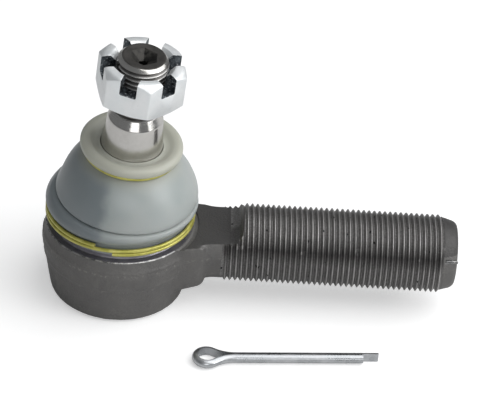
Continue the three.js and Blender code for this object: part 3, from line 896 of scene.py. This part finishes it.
stud = {
    "ball": 12.5 * mm, "ballFlat": 3.0 * mm, "neck": 6.3 * mm, "neckLength": 2.0 * mm,
    "flare": 5.5 * mm, "largeEnd": 8.6 * mm, "smallEnd": 7.6 * mm, "taperStart": 31.0 * mm,
    "taperEnd": 40.55 * mm, "bevel": 3.0 * mm, "reach": 60.75 * mm, "threadRadius": 7.0 * mm,
    "pitch": 1.5 * mm, "depth": 0.92 * mm, "tipChamfer": 1.2 * mm, "dish": 0.5 * mm,
    "socket": 6.0 * mm, "socketDepth": 3.2 * mm, "pinHole": 1.9 * mm,
}
nut = {
    "flats": 22.0 * mm, "height": 11.1 * mm, "solid": 6.25 * mm, "slot": 4.7 * mm,
    "topChamfer": 1.9 * mm, "turn": -77.7, "bore": 7.3 * mm, "mouth": 8.8 * mm,
}


def ballStud():
    size = stud
    reach, wide = size["reach"], size["threadRadius"]
    flat = math.sqrt(size["ball"] ** 2 - size["ballFlat"] ** 2)
    foot = math.sqrt(size["ball"] ** 2 - size["neck"] ** 2)
    low, high = (math.degrees(math.asin(h / size["ball"])) for h in (-flat, foot))
    land = foot + size["neckLength"] + size["flare"]
    start = size["taperEnd"] + size["bevel"]
    root = wide - size["depth"]
    body = spun("ball_stud", [
        (0, -flat, 0), *arc((0, 0), size["ball"], low, high, 30),
        (size["neck"], foot + size["neckLength"], 1.5 * mm),
        (size["largeEnd"], land, 1.5 * mm), (size["largeEnd"], size["taperStart"], 0.3 * mm),
        (size["smallEnd"], size["taperEnd"] - 0.1 * mm, 0.25 * mm),
        (size["smallEnd"] - 0.35 * mm, size["taperEnd"] + 0.5 * mm, 0.3 * mm),
        (root + 0.2 * mm, start - 0.8 * mm, 0.5 * mm), (root - 0.3 * mm, start, 0),
        (root - 0.3 * mm, reach - 1.6 * mm, 0), (0, reach - 1.6 * mm, 0)], 128)
    rod = thread("studThread", wide, size["depth"], size["pitch"],
                 start - 2 * mm, reach - start + 4 * mm, 64)
    blank = spun("studBlank", [
        (0, start - 0.7 * mm, 0), (root + 0.2 * mm, start - 0.7 * mm, 0),
        (wide + 0.4 * mm, start + 0.6 * mm, 0),
        (wide + 0.4 * mm, reach - size["tipChamfer"] - 0.4 * mm, 0),
        (wide - size["tipChamfer"], reach, 0.4 * mm),
        (wide - 2.2 * mm, reach - 0.1 * mm, 0.4 * mm),
        (0, reach - size["dish"], 0)], 96)
    joined(rod, blank, "INTERSECT")
    joined(body, rod, "UNION")
    bpy.ops.mesh.primitive_cylinder_add(vertices=32, radius=size["pinHole"], depth=30 * mm)
    drill = bpy.context.object
    across = (Matrix.Translation((0, 0, nutSeat + (nut["solid"] + nut["height"]) / 2))
              @ Matrix.Rotation(math.radians(nut["turn"] + 90), 4, "Z")
              @ Matrix.Rotation(math.pi / 2, 4, "Y"))
    joined(body, placed(drill, across), "DIFFERENCE")
    corner = size["socket"] / math.sqrt(3)
    bpy.ops.mesh.primitive_cone_add(vertices=6, radius1=0.3 * mm, radius2=corner * 1.35,
                                    depth=size["socketDepth"])
    punch = placed(bpy.context.object, Matrix.Translation((0, 0, reach
                                                           - size["socketDepth"] / 2 + 0.3 * mm)))
    joined(body, punch, "DIFFERENCE")
    placed(body, studPlace)
    finished(body, [groundSteel(), studThreadSteel(), studTipSteel(), socketSteel()], 32)
    turnBack = studPlace.inverted()
    painted(body, 1, lambda at, n: (turnBack @ at).z > start - 0.6 * mm)
    painted(body, 0, lambda at, n: (turnBack @ at).z > reach - 1.1 * mm
            and n.dot(studAxis) > 0.35)
    painted(body, 2, lambda at, n: (turnBack @ at).z > reach - 0.65 * mm
            and (turnBack @ at).xy.length < wide - size["tipChamfer"] + 0.1 * mm)
    painted(body, 3, lambda at, n: (turnBack @ at).z > reach - 3.5 * mm
            and (turnBack @ at).xy.length < 4.6 * mm and n.dot(studAxis) < 0.9)
    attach(body, "stud")
    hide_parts("ball_stud")
    print("stud has", len(body.data.polygons), "faces")


def castleNut():
    size = nut
    tall, half = size["height"], size["flats"] / 2
    corner = size["flats"] / math.sqrt(3)
    bpy.ops.mesh.primitive_cylinder_add(vertices=6, radius=corner, depth=tall,
                                        location=(0, 0, tall / 2))
    body = bpy.context.object
    body.name = "castle_nut"
    bpy.ops.object.transform_apply(location=True, rotation=True, scale=True)
    edit(body, "EDGE")
    bpy.ops.transform.rotate(value=math.radians(30), orient_axis="Z", center_override=(0, 0, 0))
    roundEdges(body, 0.35 * mm, 3, lambda a, b: abs(a.z - b.z) > 1 * mm)
    done()
    facing = spun("facing", [
        (0, 0, 0), (half - 0.2 * mm, 0, 0.3 * mm), (corner + 0.3 * mm, 1.0 * mm, 0),
        (corner + 0.3 * mm, tall - size["topChamfer"], 0.8 * mm),
        (half, tall - 0.15 * mm, 0.9 * mm),
        (half - 1.4 * mm, tall, 0), (0, tall, 0)], 144, 360, 6)
    joined(body, facing, "INTERSECT")
    bore = spun("bore", [
        (0, -1 * mm, 0), (size["bore"] + 1.9 * mm, -1 * mm, 0), (size["bore"], 0.9 * mm, 0.2 * mm),
        (size["bore"], tall - 1.6 * mm, 0.4 * mm),
        (size["mouth"] + 0.2 * mm, tall + 0.2 * mm, 0),
        (size["mouth"] + 0.2 * mm, tall + 1 * mm, 0), (0, tall + 1 * mm, 0)], 96)
    joined(body, bore, "DIFFERENCE")
    deep = tall - size["solid"]
    for turn in (30, 90, 150):  # the slots open in the middle of the flats
        mill = block((4 * corner, size["slot"], 2 * deep))
        edit(mill, "EDGE")
        roundEdges(mill, 0.5 * mm, 4, lambda a, b: abs(a.x - b.x) > 1 * mm and a.z < 0)
        done()
        placed(mill, Matrix.Translation((0, 0, tall))
               @ Matrix.Rotation(math.radians(turn), 4, "Z"))
        joined(body, mill, "DIFFERENCE")
    applied(body, "BEVEL", width=0.16 * mm, segments=2, limit_method="ANGLE",
            angle_limit=math.radians(38), harden_normals=False)
    seat = studPlace @ Matrix.Translation((0, 0, nutSeat)) @ Matrix.Rotation(
        math.radians(size["turn"]), 4, "Z")
    placed(body, seat)
    finished(body, [zincPlate(), slotSteel()], 30)
    turnBack = seat.inverted()

    def inSlot(at, n):
        at, n = turnBack @ at, (turnBack.to_3x3() @ n).normalized()
        if at.z < size["solid"] - 0.02 * mm or at.xy.length > half + 1.7 * mm:
            return False
        for turn in range(30, 390, 60):
            t = math.radians(turn)
            along = at.x * math.cos(t) + at.y * math.sin(t)
            off = -at.x * math.sin(t) + at.y * math.cos(t)
            if along > 0 and abs(off) < size["slot"] / 2 + 0.03 * mm:
                return True
        return False

    painted(body, 1, inSlot)
    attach(body, "nut")
    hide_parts("castle_nut")
    print("nut has", len(body.data.polygons), "faces")


# Dust boot and its rings

boot = {
    "lipWall": 0.9 * mm, "wall": 1.6 * mm, "lipLift": 2.1 * mm, "foldLift": 4.8 * mm,
    "skirtBulge": 2.9 * mm, "domeBulge": 1.5 * mm, "collarWall": 2.4 * mm,
    "collarLength": 4.2 * mm, "flange": 14.1 * mm, "flangeThick": 3.0 * mm, "dish": 1.6 * mm,
    "gap": 0.3 * mm, "wire": 1.1 * mm, "creamFrom": 24.5 * mm, "creamTo": 30.0 * mm,
    "leanRise": 3.0 * mm, "sway": 0.8 * mm,
}
bossTop = housingHigh.z
bossRadius = housingSizes["bossRadius"]
shoulderZ = shankZ + housingSizes["flatAboveAxis"]
grooveRadius = bossRadius + boot["gap"] + boot["lipWall"]
lipZ = shoulderZ + boot["lipLift"]
ringZ = lipZ + boot["gap"] + boot["wire"] / 2
foldZ = bossTop + boot["foldLift"]
collarTop = ballCentre.z + stud["taperStart"]
collarOuter = stud["largeEnd"] + boot["gap"] + boot["collarWall"]
collarRoot = collarTop + boot["dish"] - boot["flangeThick"] - boot["wire"] - 2 * boot["gap"]


def smooth(value, low, high):
    t = max(0.0, min(1.0, (value - low) / (high - low)))
    return t * t * (3 - 2 * t)


def leaned(piece):  # the boot's top follows the stud, its foot stays on the housing
    heights = sorted({round(vert.co.z / (0.02 * mm)) for vert in piece.data.vertices})
    edit(piece)
    mesh = bmesh.from_edit_mesh(piece.data)
    rings = {height: [] for height in heights}
    for vert in mesh.verts:
        rings[round(vert.co.z / (0.02 * mm))].append(vert)
    centre = ballCentre
    for height in heights:
        z = height * 0.02 * mm
        share = smooth(z, bossTop, foldZ + boot["leanRise"])
        sway = boot["sway"] * share * (1 - smooth(z, foldZ + boot["leanRise"], collarRoot))
        turn = (Matrix.Rotation(leanToShank * share, 3, "Y")
                @ Matrix.Rotation(leanToFront * share, 3, "X"))
        bmesh.ops.rotate(mesh, cent=centre, matrix=turn, verts=rings[height])
        bmesh.ops.translate(mesh, vec=(sway, -0.3 * sway, 0), verts=rings[height])
    bmesh.update_edit_mesh(piece.data)
    done()
    return piece


def bootSkirt(finish):
    bulge = bossRadius + boot["skirtBulge"]
    valley = bossRadius + 0.1 * mm
    inner = bossRadius + boot["gap"]
    wall = boot["wall"]
    piece = leaned(spun("boot_skirt", [
        (grooveRadius, lipZ, 0), (grooveRadius, ringZ + 2.6 * mm, 0.3 * mm),
        (bulge - 0.7 * mm, ringZ + 3.0 * mm, 0.6 * mm),
        (bulge + 0.1 * mm, (bossTop + foldZ) / 2 - 0.4 * mm, 1.8 * mm),
        (bulge - 0.7 * mm, foldZ - 1.0 * mm, 1.3 * mm), (valley + 1.1 * mm, foldZ - 0.3 * mm, 0.8 * mm),
        (valley, foldZ, 0), (valley - wall, foldZ, 0), (valley - wall, foldZ - 0.6 * mm, 0),
        (bulge - 0.5 * mm - wall, foldZ - 2.2 * mm, 0), (bulge - wall, (bossTop + foldZ) / 2 - 1.2 * mm, 0),
        (inner, bossTop - 0.3 * mm, 0), (inner, lipZ, 0), (grooveRadius, lipZ, 0)], 128))
    finished(piece, [finish], 50)
    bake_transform(piece)
    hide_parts("boot")


def bootDome(finish):
    dome = bossRadius + boot["domeBulge"]
    valley = bossRadius + 0.1 * mm
    wall = boot["wall"]
    domeZ = foldZ - 1.9 * mm
    top = math.degrees(math.acos((collarOuter + 0.9 * mm) / dome))
    rise = (collarRoot - domeZ) / math.sin(math.radians(top))
    flangeZ = collarTop + boot["dish"] - boot["flangeThick"]
    high = flangeZ + boot["flangeThick"]
    rim, bore = boot["flange"], stud["largeEnd"] + boot["gap"]
    piece = leaned(spun("boot_dome", [
        (valley, foldZ, 0), (valley + 0.5 * mm, foldZ + 0.45 * mm, 0.3 * mm),
        (dome - 0.25 * mm, foldZ + 0.3 * mm, 0.45 * mm), *arc((0, domeZ), dome, 9, top, 22, rise),
        (collarOuter, collarRoot + 0.3 * mm, 0.3 * mm), (collarOuter, flangeZ, 0.3 * mm),
        (rim - 0.3 * mm, flangeZ - 0.1 * mm, 0.4 * mm), (rim + 0.1 * mm, flangeZ + 0.7 * mm, 0.7 * mm),
        (rim + 0.1 * mm, high - 1.1 * mm, 0.8 * mm), (rim - 0.9 * mm, high - 0.3 * mm, 0.9 * mm),
        (rim - 2.4 * mm, high - 0.4 * mm, 1.0 * mm), (bore + 1.4 * mm, collarTop + 0.3 * mm, 1.4 * mm),
        (bore + 0.5 * mm, collarTop + 0.1 * mm, 0.3 * mm),
        (bore - 0.2 * mm, collarTop + 0.25 * mm, 0.2 * mm), (bore - 0.2 * mm, collarTop - 1.0 * mm, 0),
        (bore, collarTop - 1.4 * mm, 0), (bore, collarTop - boot["collarLength"], 0),
        *arc((0, domeZ), dome - wall, top - 4, 12, 14, rise - wall),
        (valley - wall, foldZ + 0.6 * mm, 0), (valley - wall, foldZ, 0), (valley, foldZ, 0)], 128))
    finished(piece, [finish], 50)
    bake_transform(piece)
    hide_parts("boot")


def lowerRing(finish):
    radius = grooveRadius + boot["gap"] + boot["wire"] / 2 - 0.05 * mm
    start, end, steps = -4.0, 702.0, 240
    rises = [(-4, -0.15), (90, 0.05), (200, 0.2), (270, 0.35), (345, 0.9), (356, 1.0), (450, 1.2),
             (560, 1.7), (630, 2.0), (670, 2.0), (702, 1.9)]  # turn from the front, height in millimetres

    def rise(turn):
        for (a, low), (b, high) in zip(rises, rises[1:]):
            if turn <= b:
                return (low + (high - low) * (turn - a) / (b - a)) * mm
        return rises[-1][1] * mm

    points = []
    for i in range(steps + 1):
        turn = start + (end - start) * i / steps
        t = math.radians(turn)
        points.append((radius * math.sin(t), -radius * math.cos(t), ringZ - 0.1 * mm + rise(turn)))
    wire = swept("boot_lower_ring_wire", points, boot["wire"] / 2, tips=0.96)
    finished(wire, [finish], 40)
    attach(wire, "housing")
    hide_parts("boot_lower_ring")


def upperRing(finish):
    radius = collarOuter + boot["gap"] + boot["wire"] / 2 + 0.5 * mm
    height = collarRoot - ballCentre.z + boot["gap"] / 2 + boot["wire"] / 2
    steps, gapTurn = 110, 7
    points = []
    for i in range(steps + 1):
        t = math.radians(100 + gapTurn / 2 + (360 - gapTurn) * i / steps)
        points.append((radius * math.sin(t), -radius * math.cos(t), height))
    wire = placed(swept("boot_upper_ring_wire", points, boot["wire"] / 2, tips=0.96), studPlace)
    finished(wire, [finish], 40)
    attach(wire, "boot_top")
    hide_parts("boot_upper_ring")


# Split pin

pin = {
    "radius": 1.6 * mm, "legs": (47.6 * mm, 43.2 * mm), "eye": 3.4 * mm, "legGap": 0.3 * mm,
    "turn": 4.8, "bend": 8.2 * mm, "tall": 1.3 * mm,
}


def splitPin(finish):
    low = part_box("split_pin")[0]
    half = pin["legGap"] / 2
    thick = pin["radius"] - half
    inner = pin["eye"] - thick / 2
    flare = 50
    mouth = Vector((inner * math.cos(math.radians(flare)), inner * math.sin(math.radians(flare))))

    def leg(length, side):
        points = [(length, side * half)]
        steps = 14
        for i in range(steps + 1):
            t = 1 - i / steps
            x = mouth.x + (pin["bend"] - mouth.x) * t
            points.append((x, side * (half + (mouth.y - half) * (1 - t) ** 2.2)))
        return points

    eye = [(inner * math.cos(math.radians(a)), inner * math.sin(math.radians(a)))
           for a in range(flare + 10, 360 - flare, 10)]
    route = [*leg(pin["legs"][0], 1), *eye, *reversed(leg(pin["legs"][1], -1))]
    section, edge = polyline("pin_section", arc((0, 0), thick, -90, 90, 14, pin["tall"]))
    edge.use_cyclic_u = True
    wire = swept("split_pin_wire", [(x, y, pin["tall"]) for x, y in route], 0, section)
    turn = math.radians(pin["turn"])
    reach = pin["eye"] + thick / 2
    place = Matrix.Translation((low.x + reach, 0, 0)) @ Matrix.Rotation(turn, 4, "Z")
    placed(wire, place)
    yMiddle = low.y - min(vert.co.y for vert in wire.data.vertices)
    placed(wire, Matrix.Translation((0, yMiddle, low.z - min(v.co.z for v in wire.data.vertices))))
    finished(wire, [finish], 40)
    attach(wire, "pin")
    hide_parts("split_pin")


def coverPlate(finish):
    radius, top = coverHigh.x, coverHigh.z
    sheet, bossSize = 1.8 * mm, 7.0 * mm
    web = bossSize + 1.5 * mm
    underside = top - sheet
    plate = spun("cover_plate_pressed", [
        (0, 0.25 * mm, 0), (bossSize - 2.2 * mm, 0.02 * mm, 1.2 * mm), (bossSize, 0, 0.5 * mm),
        (web, underside, 0.5 * mm), (radius, underside, 0.3 * mm), (radius, top, 0.3 * mm),
        (web - 1 * mm, top, 0.5 * mm), (bossSize - 1 * mm, sheet, 0.5 * mm), (0, sheet, 0)], 96)
    finished(plate, [finish], 35)
    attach(plate, "housing")
    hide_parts("cover_plate")


def keptNodes():
    plastic, spring = bearingPlastic(), springSteel()
    for name, finish in (("lower_bearing", plastic), ("upper_bearing", plastic),
                         ("pressure_spring", spring)):
        node = frame["nodes"][name]
        node.data.materials.clear()
        node.data.materials.append(finish)


housing()
ballStud()
castleNut()
rubber, lacquer, plated = bootPlastic(), ringWire(), pinSteel()
bootSkirt(rubber)
bootDome(rubber)
print("boot is in place")
lowerRing(lacquer)
upperRing(lacquer)
splitPin(plated)
coverPlate(plated)
keptNodes()
print("rings, pin, cover and inner pieces are in place")
